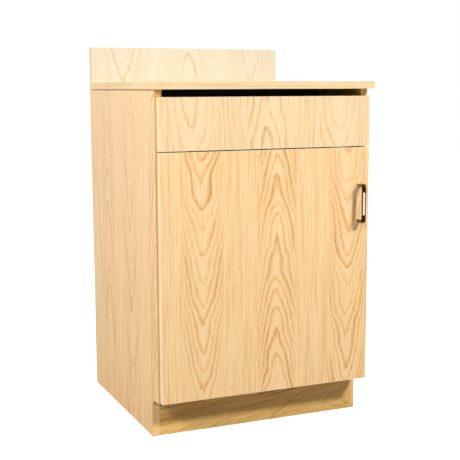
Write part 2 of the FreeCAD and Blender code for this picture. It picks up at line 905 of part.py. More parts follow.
def strike_screw_seats():
    """Screw places on the strike plate's face, with their heads sunk flush in it."""
    y = door_back_y + strike_thickness - small_head_height
    return [V(catch_x + side * strike_width / 4, y, strike_z) for side in (-1, 1)]


def make_strike():
    half = strike_width / 2
    low = strike_z - strike_height / 2
    back = door_back_y + strike_thickness
    plate = block(catch_x - half, catch_x + half, door_back_y, back, low, low + strike_height)
    seats = strike_screw_seats()
    holes = drills(seats, AXIS_Y, small_head_height, small_head_radius + fit_play)
    holes += drills(seats, -AXIS_Y, strike_thickness, small_screw_radius + fit_play)
    save("strike_plate", [less(plate, holes)])
    save("strike_screws", [small_screw(seat, -AXIS_Y) for seat in seats])


# ================================================================ door
def make_door():
    half = front_half_width
    core = block(
        -half + band, half - band, door_face_y, door_back_y, door_low_z + band, door_top_z - band
    )
    cutters = bush_holes()
    cutters += small_pilots(strike_screw_seats(), -AXIS_Y)
    cutters += drills(handle_screw_seats(), -AXIS_Y, board, screw_radius + screw_clearance)
    save("door_panel", [less(core, cutters)])
    bands = panel_bands(-half, half, door_low_z, door_top_z, door_face_y, door_back_y)
    save("door_edge_bands", [less(strip, bush_holes()) for strip in bands])
    heights = [door_low_z + door_bumper_inset, door_top_z - door_bumper_inset]
    save("door_bumpers", [mirrored(bumper(z)) for z in heights])


# ================================================================ handle
def handle_screw_seats():
    """Screw heads on the door's back face, one behind each foot."""
    half = handle_hole_spacing / 2
    return [V(handle_x, door_back_y, handle_height + side * half) for side in (-1, 1)]


def handle_block(width, length, from_y, to_y):
    """A block centred on the handle, between two distances in front of the door."""
    return block(
        handle_x - width / 2,
        handle_x + width / 2,
        door_face_y - to_y,
        door_face_y - from_y,
        handle_height - length / 2,
        handle_height + length / 2,
    )


def front_cross_edges(shape, y):
    """The edges that run left to right on the shape's front face."""
    level = [edge for edge in shape.Edges if edge.BoundBox.ZLength < same_length]
    return [edge for edge in level if abs(edge.BoundBox.YMax - y) < same_length and edge_runs_across(edge)]


def edge_runs_across(edge):
    return edge.BoundBox.YLength < same_length and edge.BoundBox.XLength > same_length


def make_handle():
    outer = handle_block(handle_width, handle_length, 0, handle_reach)
    outer = outer.makeFillet(
        handle_outer_radius, front_cross_edges(outer, door_face_y - handle_reach)
    )
    inner_reach = handle_reach - handle_thickness
    inner = handle_block(handle_width, handle_length - 2 * handle_leg, 0, inner_reach)
    inner = inner.makeFillet(handle_inner_radius, front_cross_edges(inner, door_face_y - inner_reach))
    bow = outer.cut(inner)
    flat_ended = [edge for edge in bow.Edges if edge.BoundBox.XLength < same_length]
    rims = [edge for edge in flat_ended if edge.BoundBox.YMin < door_face_y - same_length]
    bow = bow.makeFillet(handle_edge_radius, rims)
    play = 2 * inlay_play
    inlay_back = handle_reach - inlay_depth
    pocket = handle_block(inlay_width + play, inlay_length + play, inlay_back, handle_reach)
    ends = [seat + AXIS_Y * (door_face_y - door_back_y) for seat in handle_screw_seats()]
    bores = drills(ends, -AXIS_Y, handle_screw_bite, screw_radius + fit_play)
    save("handle_bar", [less(bow, [pocket] + bores)])
    save("handle_inlay", [handle_block(inlay_width, inlay_length, inlay_back, handle_reach)])
    length = board + handle_screw_bite - hole_end_play
    screws = [
        screw(seat, -AXIS_Y, length, screw_radius, pan_head_radius, handle_screw_head)
        for seat in handle_screw_seats()
    ]
    save("handle_screws", screws)


# ================================================================ the whole station
make_sides()
make_dowels()
make_deck()
make_divider()
make_cross_bands()
make_stretchers()
make_toe_boards()
make_back()
make_counter()
make_backsplash()
make_shelf()
make_drawer_box()
make_drawer_front()
make_cabinet_runner()
make_drawer_runner()
make_hinges()
make_bushes()
make_catch()
make_strike()
make_door()
make_handle()
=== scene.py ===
"""Looks of the waiter service station: printed oak, edge bands, fittings, light and camera."""

import math

import bpy
from mathutils import Matrix, Vector


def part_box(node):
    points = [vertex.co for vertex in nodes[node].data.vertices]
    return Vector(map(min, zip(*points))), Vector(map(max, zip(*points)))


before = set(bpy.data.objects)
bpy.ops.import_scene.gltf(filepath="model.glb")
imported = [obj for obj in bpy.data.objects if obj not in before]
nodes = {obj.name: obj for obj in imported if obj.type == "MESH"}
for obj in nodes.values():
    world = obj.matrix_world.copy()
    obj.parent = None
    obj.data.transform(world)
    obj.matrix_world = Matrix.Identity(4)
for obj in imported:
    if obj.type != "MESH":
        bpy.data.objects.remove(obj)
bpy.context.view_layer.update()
MM = 0.001

# ------------------------------------------------------------------ camera
# It stands in front and to the left, at the height of the worktop, and looks a little down.
CAMERA_PLACE = (-1.093524, -2.569464, 0.900347)  # m
CAMERA_YAW = -23.320                             # degrees, as are the next two
CAMERA_PITCH = -8.225
CAMERA_ROLL = -0.188
CAMERA_LENS = 77.4820                            # mm
SENSOR_WIDTH = 36.0                              # mm


def camera_axes():
    """The camera's right, up and viewing directions."""
    yaw, pitch, roll = (math.radians(a) for a in (CAMERA_YAW, CAMERA_PITCH, CAMERA_ROLL))
    ahead = Vector((-math.sin(yaw) * math.cos(pitch),
                    math.cos(yaw) * math.cos(pitch),
                    math.sin(pitch)))
    level = Vector((math.cos(yaw), math.sin(yaw), 0.0))
    upright = level.cross(ahead)
    right = level * math.cos(roll) + upright * math.sin(roll)
    up = upright * math.cos(roll) - level * math.sin(roll)
    return right, up, ahead


def place_camera():
    """Makes the camera and gives it to the scene."""
    data = bpy.data.cameras.new("station_camera")
    data.sensor_fit = "HORIZONTAL"
    data.sensor_width = SENSOR_WIDTH
    data.lens = CAMERA_LENS
    camera = bpy.data.objects.new("station_camera", data)
    bpy.context.scene.collection.objects.link(camera)
    right, up, ahead = camera_axes()
    turn = Matrix((right, up, -ahead)).transposed().to_4x4()
    camera.matrix_world = Matrix.Translation(CAMERA_PLACE) @ turn
    bpy.context.scene.camera = camera


place_camera()


# ------------------------------------------------------------------ colours and nodes
def linear(hex_colour):
    """An sRGB hex colour as linear red, green, blue and alpha."""
    parts = [int(hex_colour[i:i + 2], 16) / 255 for i in (1, 3, 5)]
    curve = [p / 12.92 if p <= 0.04045 else ((p + 0.055) / 1.055) ** 2.4 for p in parts]
    return (*curve, 1.0)


def feed(tree, node, inputs):
    """Sets a node's inputs, which come in its own order, or by name or number. Each is a value,
    the socket that feeds it, or the node whose first output does."""
    for name, value in inputs.items() if isinstance(inputs, dict) else enumerate(inputs):
        if isinstance(value, bpy.types.Node):
            value = value.outputs[0]
        if isinstance(value, bpy.types.NodeSocket):
            tree.links.new(value, node.inputs[name])
        else:
            node.inputs[name].default_value = value


def add(tree, kind, inputs=(), **options):
    """Adds a node with its options and feeds its inputs."""
    node = tree.nodes.new(kind)
    for name, value in options.items():
        setattr(node, name, value)
    feed(tree, node, inputs)
    return node


def new_material(name):
    """An empty material, its node tree, its shader and its object coordinates in millimetres."""
    material = bpy.data.materials.new(name)
    material.use_nodes = True
    tree = material.node_tree
    tree.nodes.clear()
    shader = add(tree, "ShaderNodeBsdfPrincipled")
    add(tree, "ShaderNodeOutputMaterial", {"Surface": shader})
    place = add(tree, "ShaderNodeTexCoord").outputs["Object"]
    place_mm = add(tree, "ShaderNodeMapping", {"Vector": place, "Scale": (1 / MM, 1 / MM, 1 / MM)})
    return material, tree, shader, place_mm


def set_ramp(ramp, stops):
    """Gives a colour ramp its stops, each a place from 0 to 1 and a hex colour or a grey level."""
    elements = ramp.color_ramp.elements
    while len(elements) < len(stops):
        elements.new(0.5)
    for element, (place, colour) in zip(elements, stops):
        element.position = place
        element.color = linear(colour) if isinstance(colour, str) else (colour, colour, colour, 1)


# ------------------------------------------------------------------ printed oak
# Melamine-faced board printed as flat-sawn oak. The print repeats across its width: a
# column of cathedral arches, then straight grain, then a column of arches the other way up.
COLUMN_PITCH = 208.0        # mm from one column of arches to the next
COLUMN_FADE = (38.0, 68.0)  # mm from the middle, where the arches pass into straight grain
SWAY = 14.0                 # mm, how widely a column sways from side to side
SWAY_LENGTH = 210.0         # mm along the grain, over which it sways
ARCH_SPACING = 58.0         # mm between two arches along the grain, on average
ARCH_SHIFT = 110.0          # mm, the most that an arch is moved along from even spacing
ARCH_SHIFT_LENGTH = 120.0   # mm along the grain, over which the shift changes
COLUMN_STEP = 5.3           # through the noise, so that each column has its own shifts
ARCH_HALF_WIDTH = 38.0      # mm from a column's middle to where an arch has dropped by ARCH_DROP
ARCH_DROP = 112.0           # mm
ARCH_STRAIGHT = 0.60        # of ARCH_DROP, the part by which the arms fall straight
ARCH_CURVED = 0.46          # of ARCH_DROP, the part by which they fall ever more steeply
ARCH_POINT = 0.16           # of ARCH_HALF_WIDTH: how far out an arch's tip is rounded
ARCH_LINE = 58.0            # mm down from an arch's tip, its dark line and the shade inside it
ARM_THINNING = 0.20         # under 0.5, so that the line is thinner on the arms than at the tip
ARCH_DARK = 0.84            # darkness of the strongest line
RING_LINE = (               # place in the line and its share of that darkness there
    (0.0, 0.20), (0.06, 0.74), (0.16, 0.86), (0.27, 0.52), (0.45, 0.14), (1.0, 0.0))
RING_STRENGTH = (0.32, 1.1)  # of the weakest and the strongest ring
RING_NAMES = 57.0           # more than the rings in a column, so that each has its own strength
SWAY_SEEDS, FACE_SEEDS, SHIFT_SEEDS = 91, 37, 53  # steps through the noises from seed to seed

# Noises that bend the rings: mm across and along the grain, layer, detail, roughness
SWELL = ((46.0, 120.0), 0.0, 1.0, 0.5)
SWELL_RINGS = 1.5           # rings that it moves a line by
JAG = ((3.8, 32.0), 1.5, 2.0, 0.6)
JAG_RINGS = 0.42

# Marks of the print: as above, and the noise values between which they go from clear to full.
# Real fibre is under 1 mm wide and real pores are 0.3 mm, drawn coarser here so that they show.
PATCH = ((70.0, 160.0), 3.1, 1.5, 0.5, (0.34, 0.60))
STREAK = ((3.4, 200.0), 5.5, 2.0, 0.55, (0.38, 0.70))
FLECK = ((2.8, 38.0), 6.5, 1.0, 0.5, (0.46, 0.74))
FIBRE = ((3.0, 120.0), 8.5, 2.0, 0.5, (0.40, 0.70))
PORE = ((2.0, 20.0), 2.5, 1.0, 0.5, (0.54, 0.70))
PATCH_WEAKEST = 0.70        # of an arch's darkness, where a patch is clear
STREAK_DARK = (0.46, 0.12)  # between the columns and in their middle
FLECK_DARK = (0.16, 0.08)   # between the columns and in their middle
FIBRE_DARK = 0.16
PORE_DARK = (0.08, 0.30)    # off the arches' lines and on them
PORE_FULL = 0.6             # darkness of a line from which its pores are at their darkest
PORE_RELIEF = 0.25          # strength of the bump
PORE_DEPTH = 0.2            # mm

INK_STOPS = (0.0, 0.28, 0.72, 1.0)
PRINT_ROUGHNESS = (0.42, 0.54)  # on the palest ink and on the darkest
PLASTIC_IOR = 1.5
SATIN_GLOSS = 0.25          # half a smooth face's gloss: the print's fine texture breaks it up
DOOR_TONES = ("#FFE0AE", "#FED59C", "#EBB372", "#D39855")


def drawn_out(tree, face, size, layer=0.0, detail=1.0, roughness=0.5):
    """A noise whose blots are size[0] mm across the grain and size[1] mm along it."""
    spread = add(tree, "ShaderNodeMapping", {"Vector": face, "Location": (0, 0, layer),
                                             "Scale": (1 / size[0], 1 / size[1], 1)})
    return add(tree, "ShaderNodeTexNoise", {"Vector": spread, "Scale": 1.0, "Detail": detail,
                                            "Roughness": roughness})


def marks(tree, face, kind, full=1.0, clear=0.0):
    """One kind of mark on the face, as a darkness that goes from clear to full."""
    *noise, (begins, ends) = kind
    return add(tree, "ShaderNodeMapRange", {"Value": drawn_out(tree, face, *noise),
                                            "From Min": begins, "From Max": ends,
                                            "To Min": clear, "To Max": full})


def printed_oak(name, across, along, column=0.0, start=0.0, seed=0.0, tones=DOOR_TONES,
                spacing=ARCH_SPACING, arches=1.0, streaks=1.0, shade=0.0, tilt=0.0, slant=0.0):
    """Satin printed oak: the ink is flat under clear melamine, so the grain shows as colour
    with only a trace of relief in its pores. The grain runs along one axis, and column is
    where an arch column stands on the other, in mm; start shifts the arches along the grain.
    The whole print is darkened by shade, and by tilt for each metre along the grain: painted shade,
    for the lamps' light falling off along the board.
    slant, the sheet was cut askew: the grain drifts across by that much for each mm along."""
    material, tree, shader, place = new_material(name)
    axes = add(tree, "ShaderNodeSeparateXYZ", (place,)).outputs

    # A slow sway, so that no column is quite straight
    sway_place = add(tree, "ShaderNodeCombineXYZ", (0.0, axes[along], seed * SWAY_SEEDS))
    sway = drawn_out(tree, sway_place, (1.0, SWAY_LENGTH))
    bend = add(tree, "ShaderNodeMath", (sway, SWAY, -SWAY / 2 - column), operation="MULTIPLY_ADD")
    askew = add(tree, "ShaderNodeMath", (axes[along], -slant, bend), operation="MULTIPLY_ADD")
    side = add(tree, "ShaderNodeMath", (axes[across], askew), operation="ADD")
    face = add(tree, "ShaderNodeCombineXYZ", (side, axes[along], seed * FACE_SEEDS))

    # Which column this is, how far from its middle, and which way up its arches are
    turns = add(tree, "ShaderNodeMath", (side, COLUMN_PITCH), operation="DIVIDE")
    index = add(tree, "ShaderNodeMath", (turns,), operation="ROUND")
    off_turns = add(tree, "ShaderNodeMath", (turns, index), operation="SUBTRACT")
    off = add(tree, "ShaderNodeMath", (off_turns, COLUMN_PITCH), operation="MULTIPLY")
    half_turn = add(tree, "ShaderNodeMath", (index, math.pi), operation="MULTIPLY")
    way_up = add(tree, "ShaderNodeMath", (half_turn,), operation="COSINE")

    # Growth rings cut by the face: pointed arches in each column, unevenly spaced along it.
    # Here, rings counts them, so that each whole number is a ring's line.
    column_place = add(tree, "ShaderNodeMath", (index, COLUMN_STEP), operation="MULTIPLY")
    shift_place = add(tree, "ShaderNodeCombineXYZ", (column_place, axes[along], seed * SHIFT_SEEDS))
    shift = drawn_out(tree, shift_place, (1.0, ARCH_SHIFT_LENGTH))
    started = add(tree, "ShaderNodeMath", (axes[along], start), operation="ADD")
    lift = add(tree, "ShaderNodeMath", (shift, ARCH_SHIFT, started), operation="MULTIPLY_ADD")
    rise = add(tree, "ShaderNodeMath", (lift, way_up), operation="MULTIPLY")
    off_share = add(tree, "ShaderNodeMath", (off, ARCH_HALF_WIDTH), operation="DIVIDE")
    off_square = add(tree, "ShaderNodeMath", (off_share, off_share), operation="MULTIPLY")
    rounded = add(tree, "ShaderNodeMath", (off_square, ARCH_POINT ** 2), operation="ADD")
    pointed = add(tree, "ShaderNodeMath", (rounded, 0.5), operation="POWER")
    rings = add(tree, "ShaderNodeMath", (rise, spacing), operation="DIVIDE")
    for part, part_rings in ((pointed, ARCH_STRAIGHT * ARCH_DROP / spacing),
                             (off_square, ARCH_CURVED * ARCH_DROP / spacing),
                             (drawn_out(tree, face, *SWELL), SWELL_RINGS),
                             (drawn_out(tree, face, *JAG), JAG_RINGS)):
        rings = add(tree, "ShaderNodeMath", (part, part_rings, rings), operation="MULTIPLY_ADD")

    # Each ring ends in a dark line with a soft shade inside it, thinner on the arms than at the
    # tip, and is stronger or weaker than its neighbours
    share = add(tree, "ShaderNodeMath", (rings,), operation="FRACT")
    to_line = add(tree, "ShaderNodeMath", (share, -spacing, spacing), operation="MULTIPLY_ADD")
    steepness = (2 * ARCH_DROP / ARCH_HALF_WIDTH) ** 2
    steep_square = add(tree, "ShaderNodeMath", (off_square, steepness, 1.0),
                       operation="MULTIPLY_ADD")
    arm_steepness = add(tree, "ShaderNodeMath", (steep_square, ARM_THINNING), operation="POWER")
    square_on = add(tree, "ShaderNodeMath", (to_line, arm_steepness), operation="DIVIDE")
    into_line = add(tree, "ShaderNodeMath", (square_on, ARCH_LINE), operation="DIVIDE")
    arch_dark = add(tree, "ShaderNodeValToRGB", (into_line,))
    set_ramp(arch_dark, RING_LINE)
    number = add(tree, "ShaderNodeMath", (rings,), operation="FLOOR")
    ring_name = add(tree, "ShaderNodeMath", (index, RING_NAMES + seed, number),
                    operation="MULTIPLY_ADD")
    chance = add(tree, "ShaderNodeTexWhiteNoise", {"W": ring_name}, noise_dimensions="1D")
    strength = add(tree, "ShaderNodeMapRange", {"Value": chance, "To Min": RING_STRENGTH[0],
                                                "To Max": RING_STRENGTH[1]})

    # Arches fade into straight grain, and come and go in patches
    distance = add(tree, "ShaderNodeMath", (off,), operation="ABSOLUTE")
    middle = add(tree, "ShaderNodeMapRange", {"Value": distance, "From Min": COLUMN_FADE[0],
                                              "From Max": COLUMN_FADE[1], "To Min": 1.0,
                                              "To Max": 0.0}, interpolation_type="SMOOTHSTEP")
    for weight in (strength, middle, marks(tree, face, PATCH, clear=PATCH_WEAKEST)):
        arch_dark = add(tree, "ShaderNodeMath", (arch_dark, weight), operation="MULTIPLY")

    # Straight grain between the columns, flecks and fibre all over, and pores, most in the lines
    streak_weight = add(tree, "ShaderNodeMapRange", {"Value": middle, "To Min": STREAK_DARK[0],
                                                     "To Max": STREAK_DARK[1]})
    fleck_weight = add(tree, "ShaderNodeMapRange", {"Value": middle, "To Min": FLECK_DARK[0],
                                                    "To Max": FLECK_DARK[1]})
    pore_weight = add(tree, "ShaderNodeMapRange", {"Value": arch_dark, "From Max": PORE_FULL,
                                                   "To Min": PORE_DARK[0], "To Max": PORE_DARK[1]})
    streak_dark = add(tree, "ShaderNodeMath", (marks(tree, face, STREAK), streak_weight),
                      operation="MULTIPLY")
    fleck_dark = marks(tree, face, FLECK, fleck_weight)
    pore_dark = marks(tree, face, PORE, pore_weight)
    # Painted shade: darker along the grain by tilt for each metre, plus shade, for light that falls
    # off towards one end
    painted_falloff_dark = add(tree, "ShaderNodeMath", (axes[along], tilt * MM, shade),
                     operation="MULTIPLY_ADD")

    # All of it together, as one darkness that picks the print's ink colour
    total = marks(tree, face, FIBRE, FIBRE_DARK)
    for dark, weight in ((arch_dark, ARCH_DARK * arches), (streak_dark, streaks),
                         (fleck_dark, streaks), (pore_dark, 1.0), (painted_falloff_dark, 1.0)):
        total = add(tree, "ShaderNodeMath", (dark, weight, total), operation="MULTIPLY_ADD")
    ink = add(tree, "ShaderNodeValToRGB", (total,))
    set_ramp(ink, list(zip(INK_STOPS, tones)))
    gloss = add(tree, "ShaderNodeMapRange", {"Value": total, "To Min": PRINT_ROUGHNESS[0],
                                             "To Max": PRINT_ROUGHNESS[1]})
    relief = add(tree, "ShaderNodeBump", {"Height": pore_dark, "Strength": PORE_RELIEF,
                                          "Distance": PORE_DEPTH * MM}, invert=True)
    feed(tree, shader, {"Base Color": ink, "Roughness": gloss, "Normal": relief,
                        "IOR": PLASTIC_IOR, "Specular IOR Level": SATIN_GLOSS})
    return material


BAND_GRAIN = (2.6, 190.0)   # mm across and along the band, a line of its grain
BAND_MARKS = (0.40, 0.72)   # noise values between which a line goes from clear to full
BAND_STOPS = (0.0, 0.5, 1.0)
BAND_ROUGHNESS = 0.45
FINE_DETAIL = 3.0           # octaves of the noise, on bands and plain finishes


def banded_oak(name, tones, level=False, grain=1.0):
    """Thin printed edge band, glued on: satin, with a few fine lines. Its grain runs along the
    band: level all over on the edge of a level board, and otherwise level on top and underneath
    and upright elsewhere."""
    material, tree, shader, place = new_material(name)
    across, along = (1 / size for size in BAND_GRAIN)
    upright_scale = (along, along, across) if level else (across, across, along)
    upright_place = add(tree, "ShaderNodeMapping", {"Vector": place, "Scale": upright_scale})
    flat_place = add(tree, "ShaderNodeMapping", {"Vector": place, "Scale": (along, across, along)})
    normal = add(tree, "ShaderNodeNewGeometry").outputs["Normal"]
    facing = add(tree, "ShaderNodeSeparateXYZ", (normal,)).outputs["Z"]
    up_or_down = add(tree, "ShaderNodeMath", (facing,), operation="ABSOLUTE")
    lies_flat = add(tree, "ShaderNodeMath", (up_or_down, 0.5), operation="GREATER_THAN")
    run = add(tree, "ShaderNodeMix", {0: lies_flat, 4: upright_place, 5: flat_place},
              data_type="VECTOR").outputs[1]
    lines = add(tree, "ShaderNodeTexNoise", {"Vector": run, "Scale": 1.0, "Detail": FINE_DETAIL})
    dark = add(tree, "ShaderNodeMapRange", {"Value": lines, "From Min": BAND_MARKS[0],
                                            "From Max": BAND_MARKS[1], "To Max": grain})
    ink = add(tree, "ShaderNodeValToRGB", (dark,))
    set_ramp(ink, list(zip(BAND_STOPS, tones)))
    feed(tree, shader, {"Base Color": ink, "Roughness": BAND_ROUGHNESS, "IOR": PLASTIC_IOR,
                        "Specular IOR Level": SATIN_GLOSS})
    return material


def dress(material, *names):
    """Puts a material on every slot of some CAD nodes."""
    for name in names:
        for slot in nodes[name].material_slots:
            slot.material = material


DRAWER_TONES = ("#FAE1B9", "#F8D8A7", "#E5B379", "#CB9556")
SIDE_TONES = ("#F9D8AD", "#F3C98F", "#DFAA67", "#C38E4B")
WORKTOP_TONES = ("#F3D6AB", "#ECC896", "#D6A468", "#BC8646")
# Backsplash inks, paler and greyer than the rest: painted light on the same print
BACKSPLASH_TONES = ("#E0D6C2", "#DACEB6", "#CFBA99", "#BCA179")
# Toe inks: deeper and yellower than the door's, partly painted shade of the recess under the door
TOE_TONES = ("#FFD48A", "#F0BF6E", "#C08F45", "#7F5720")

# Door and drawer front: upright grain, with the columns a little out of line; the door has a little
# painted shade, darker towards the floor
dress(printed_oak("printed_oak_door", "X", "Z", column=24.0, start=14.0, seed=1.0, shade=0.03,
                  tilt=-0.06), "door_panel")
dress(printed_oak("printed_oak_drawer", "X", "Z", column=-5.0, seed=2.0, tones=DRAWER_TONES,
                  spacing=105.0, arches=0.85, streaks=1.05), "drawer_front")
# Sides: upright grain; the left one has painted shade, darker towards the floor, where less light
# reaches it
dress(printed_oak("printed_oak_left_side", "Y", "Z", column=-265.0, seed=3.0, tones=SIDE_TONES,
                  arches=0.8, streaks=0.7, shade=0.22, tilt=-0.38), "side_panel_left")
dress(printed_oak("printed_oak_right_side", "Y", "Z", column=-250.0, seed=8.0, arches=0.9),
      "side_panel_right")
# Worktop and backsplash: the grain runs along the one and up the other; the backsplash's paler,
# greyer inks are painted light, for the brighter light that falls on it
dress(printed_oak("printed_oak_worktop", "Y", "X", column=20.0, seed=4.0, tones=WORKTOP_TONES,
                  arches=0.8), "countertop")
dress(printed_oak("printed_oak_backsplash", "X", "Z", column=4.0, start=30.0, seed=5.0,
                  tones=BACKSPLASH_TONES, arches=0.8, streaks=0.7), "backsplash")
# Toe boards: level grain, cut askew, with strong streaks over faint arches, in deeper, yellower
# inks that are partly painted shade of the recess under the door
dress(printed_oak("printed_oak_toe_board", "Z", "X", column=2.0 - COLUMN_PITCH, seed=6.0,
                  tones=TOE_TONES, arches=0.4, streaks=1.25, slant=0.13),
      "toe_board_front", "toe_board_rear")
# Boards inside: level grain from side to side
dress(printed_oak("printed_oak_inside", "Y", "X", column=-60.0, seed=7.0),
      "bottom_panel", "drawer_divider_rail", "top_stretcher_rear", "shelf")

# Edge bands: palest on the fronts, and tanner and yellower on the sides, partly painted shade, as
# those bands mostly lie in the door's shadow
dress(banded_oak("pale_front_edge_band", ("#FDE9C8", "#F8DEB6", "#E9CA9A"), grain=0.8),
      "drawer_front_edge_bands", "door_edge_bands")
dress(banded_oak("side_edge_band", ("#FFD893", "#FBCE85", "#E4AF65")), "side_edge_bands")
dress(banded_oak("level_board_edge_band", ("#FCE1B6", "#F5D4A2", "#DFB67E"), level=True),
      "cross_board_bands", "shelf_edge_band")
dress(banded_oak("worktop_edge_band", ("#F5DAAC", "#EECC98", "#D6AE77"), level=True, grain=0.8),
      "countertop_edge_bands")
# Paler to go with the backsplash: painted light
dress(banded_oak("backsplash_edge_band", ("#EAD7B7", "#E4CEA9", "#D2B588"), grain=0.8),
      "backsplash_edge_bands")


# ------------------------------------------------------------------ plain finishes
CLOUD_TONES = (0.32, 0.68)  # noise values at which a finish has its two tones
CLOUD_GLOSS = (0.3, 0.7)    # and its two roughnesses
PEEL_RELIEF = 0.5           # strength of the bump of a coat with orange peel


def plain_finish(name, tones, blot, stretch=(1, 1, 1), roughness=(0.4, 0.5), metallic=0.0,
                 peel=0.0):
    """A finish whose tone and gloss vary a little, in blots of a size in mm that may be drawn
    out along an axis. A peel in mm gives the coat a fine relief."""
    material, tree, shader, place = new_material(name)
    spread = add(tree, "ShaderNodeMapping", {"Vector": place,
                                             "Scale": tuple(1 / (blot * s) for s in stretch)})
    cloud = add(tree, "ShaderNodeTexNoise", {"Vector": spread, "Scale": 1.0,
                                             "Detail": FINE_DETAIL})
    tone = add(tree, "ShaderNodeValToRGB", (cloud,))
    set_ramp(tone, list(zip(CLOUD_TONES, tones)))
    gloss = add(tree, "ShaderNodeMapRange", {"Value": cloud, "From Min": CLOUD_GLOSS[0],
                                             "From Max": CLOUD_GLOSS[1], "To Min": roughness[0],
                                             "To Max": roughness[1]})
    feed(tree, shader, {"Base Color": tone, "Roughness": gloss, "Metallic": metallic})
    if not metallic:
        feed(tree, shader, {"IOR": PLASTIC_IOR})
    if peel:
        relief = add(tree, "ShaderNodeBump", {"Height": cloud, "Strength": PEEL_RELIEF,
                                              "Distance": peel * MM})
        feed(tree, shader, {"Normal": relief})
    return material


# Near-black melamine on the board behind the finger gap, painted shade so that the deep gap reads
# as a black line
dress(plain_finish("painted_shade_black_board", ("#1B1512", "#14100D"), 2.0, roughness=(0.50, 0.60)),
      "top_stretcher_front")
# Hardboard, pressed from fibre: dull and tan, with faint upright clouds
dress(plain_finish("hardboard_back", ("#E3C79B", "#D6B684"), 9.0, (1, 1, 6), (0.55, 0.65)),
      "back_panel")
# Maple-print foil, rolled on: pale and smooth, with faint streaks along each board
MAPLE_TONES = ("#EFE0C2", "#E4D0AB")
dress(plain_finish("maple_foil_drawer_board", MAPLE_TONES, 5.0, (1, 16, 1)),
      "drawer_side_left", "drawer_side_right")
dress(plain_finish("maple_foil_drawer_ends", MAPLE_TONES, 5.0, (16, 1, 1)),
      "drawer_box_front", "drawer_box_back")
# Foil on hardboard: a little duller than the drawer's sides
dress(plain_finish("foil_hardboard_bottom", ("#EBDBBB", "#E2CFA8"), 6.0, (1, 12, 1),
                   (0.45, 0.55)), "drawer_bottom")
# Beech, turned and left bare: dull and reddish tan, with grain along the dowel
dress(plain_finish("beech_dowel", ("#D8B07C", "#C89B66"), 1.5, (14, 1, 1), (0.55, 0.65)),
      "carcass_dowels")
# Powder coat, baked on rolled steel: an even white with a trace of orange peel
dress(plain_finish("white_powder_coat", ("#EDEBE6", "#E3E0DA"), 1.2, roughness=(0.42, 0.55),
                   peel=0.03),
      "cabinet_runner_left", "cabinet_runner_right", "drawer_runner_left", "drawer_runner_right")
# Zinc, plated bright on cold-headed screws: pale grey with small clear glints
dress(plain_finish("bright_zinc_plate", ("#D3D4D2", "#B9BBBA"), 1.4, roughness=(0.24, 0.38),
                   metallic=1.0),
      "countertop_screws", "backsplash_screws", "back_panel_screws", "cabinet_runner_screws",
      "hinge_leaf_screws", "catch_screws", "drawer_runner_screws", "drawer_front_screws",
      "drawer_box_screws", "handle_screws", "strike_screws")
# Zinc, plated on drawn and pressed steel: greyer and softer, with faint draw marks
dress(plain_finish("zinc_plated_steel", ("#C9CAC8", "#AEB0AF"), 2.0, (6, 1, 1), (0.28, 0.42),
                   metallic=1.0), "hinge_pins", "shelf_pins", "strike_plate")
# Bronze, plated on pressed steel: a brown metal that is quiet beside the oak
dress(plain_finish("bronze_plated_steel", ("#8A7052", "#6E5739"), 2.0, (6, 1, 1), (0.38, 0.50),
                   metallic=1.0), "hinge_leaves")
# Nylon, moulded: milky white with a waxy sheen
dress(plain_finish("moulded_nylon", ("#F1F0EB", "#E6E4DC"), 2.0, roughness=(0.36, 0.46)),
      "front_roller_left", "front_roller_right", "rear_roller_left", "rear_roller_right",
      "hinge_bushes", "hinge_washer")
# ABS, moulded: a warm off-white satin
dress(plain_finish("moulded_abs_catch", ("#E6E1D6", "#DAD4C8"), 2.5, roughness=(0.38, 0.50)),
      "catch_body")
# Ferrite, sintered from powder: dull, dark grey and grainy
dress(plain_finish("sintered_ferrite", ("#3B3B3D", "#2C2C2E"), 0.8, roughness=(0.50, 0.65)),
      "catch_magnet")
# Polyurethane, cast as small pads: pale, smooth and a little glossy
dress(plain_finish("clear_polyurethane_pad", ("#EAEAE4", "#DEDED6"), 1.5,
                   roughness=(0.30, 0.42)), "drawer_bumpers", "door_bumpers")

NICKEL_PAINTED_REFLECTION = (0.5, 0.9)             # of the strip's width, where the painted dark reflection begins and is full
# Pale nickel, and at the end the dull tone of the painted dark reflection
NICKEL_TONES = ((0.1, "#DDD6CB"), (0.35, "#CFC7BB"), (1.0, "#6E655A"))
NICKEL_ROUGHNESS = 0.36
BRUSHING_SIZE = (0.6, 0.6, 24.0)    # mm; real brush marks are 0.1 mm wide, drawn coarser to show
BRUSHING_TONE = 0.4                 # of the way from the palest tone to the dullest
LACQUER_DEPTH = 4.0                 # mm behind the bar's front face
OAK_REFLECTION_BLEND = 2.0                   # mm from the lacquer's edge to the full painted reflection of the oak
BRONZE_BLOT = (3.0, 3.0, 9.0)       # mm
BRONZE_STOPS = (0.3, 0.7)           # noise values at which lacquer and metal have their two tones
LACQUER_TONES = ("#352417", "#27190E")
# Golden bronze on the feet and flanks: a painted reflection of the oak door
OAK_REFLECTION_TONES = ("#A08A60", "#86704A")
BRONZE_ROUGHNESS = (0.36, 0.48)


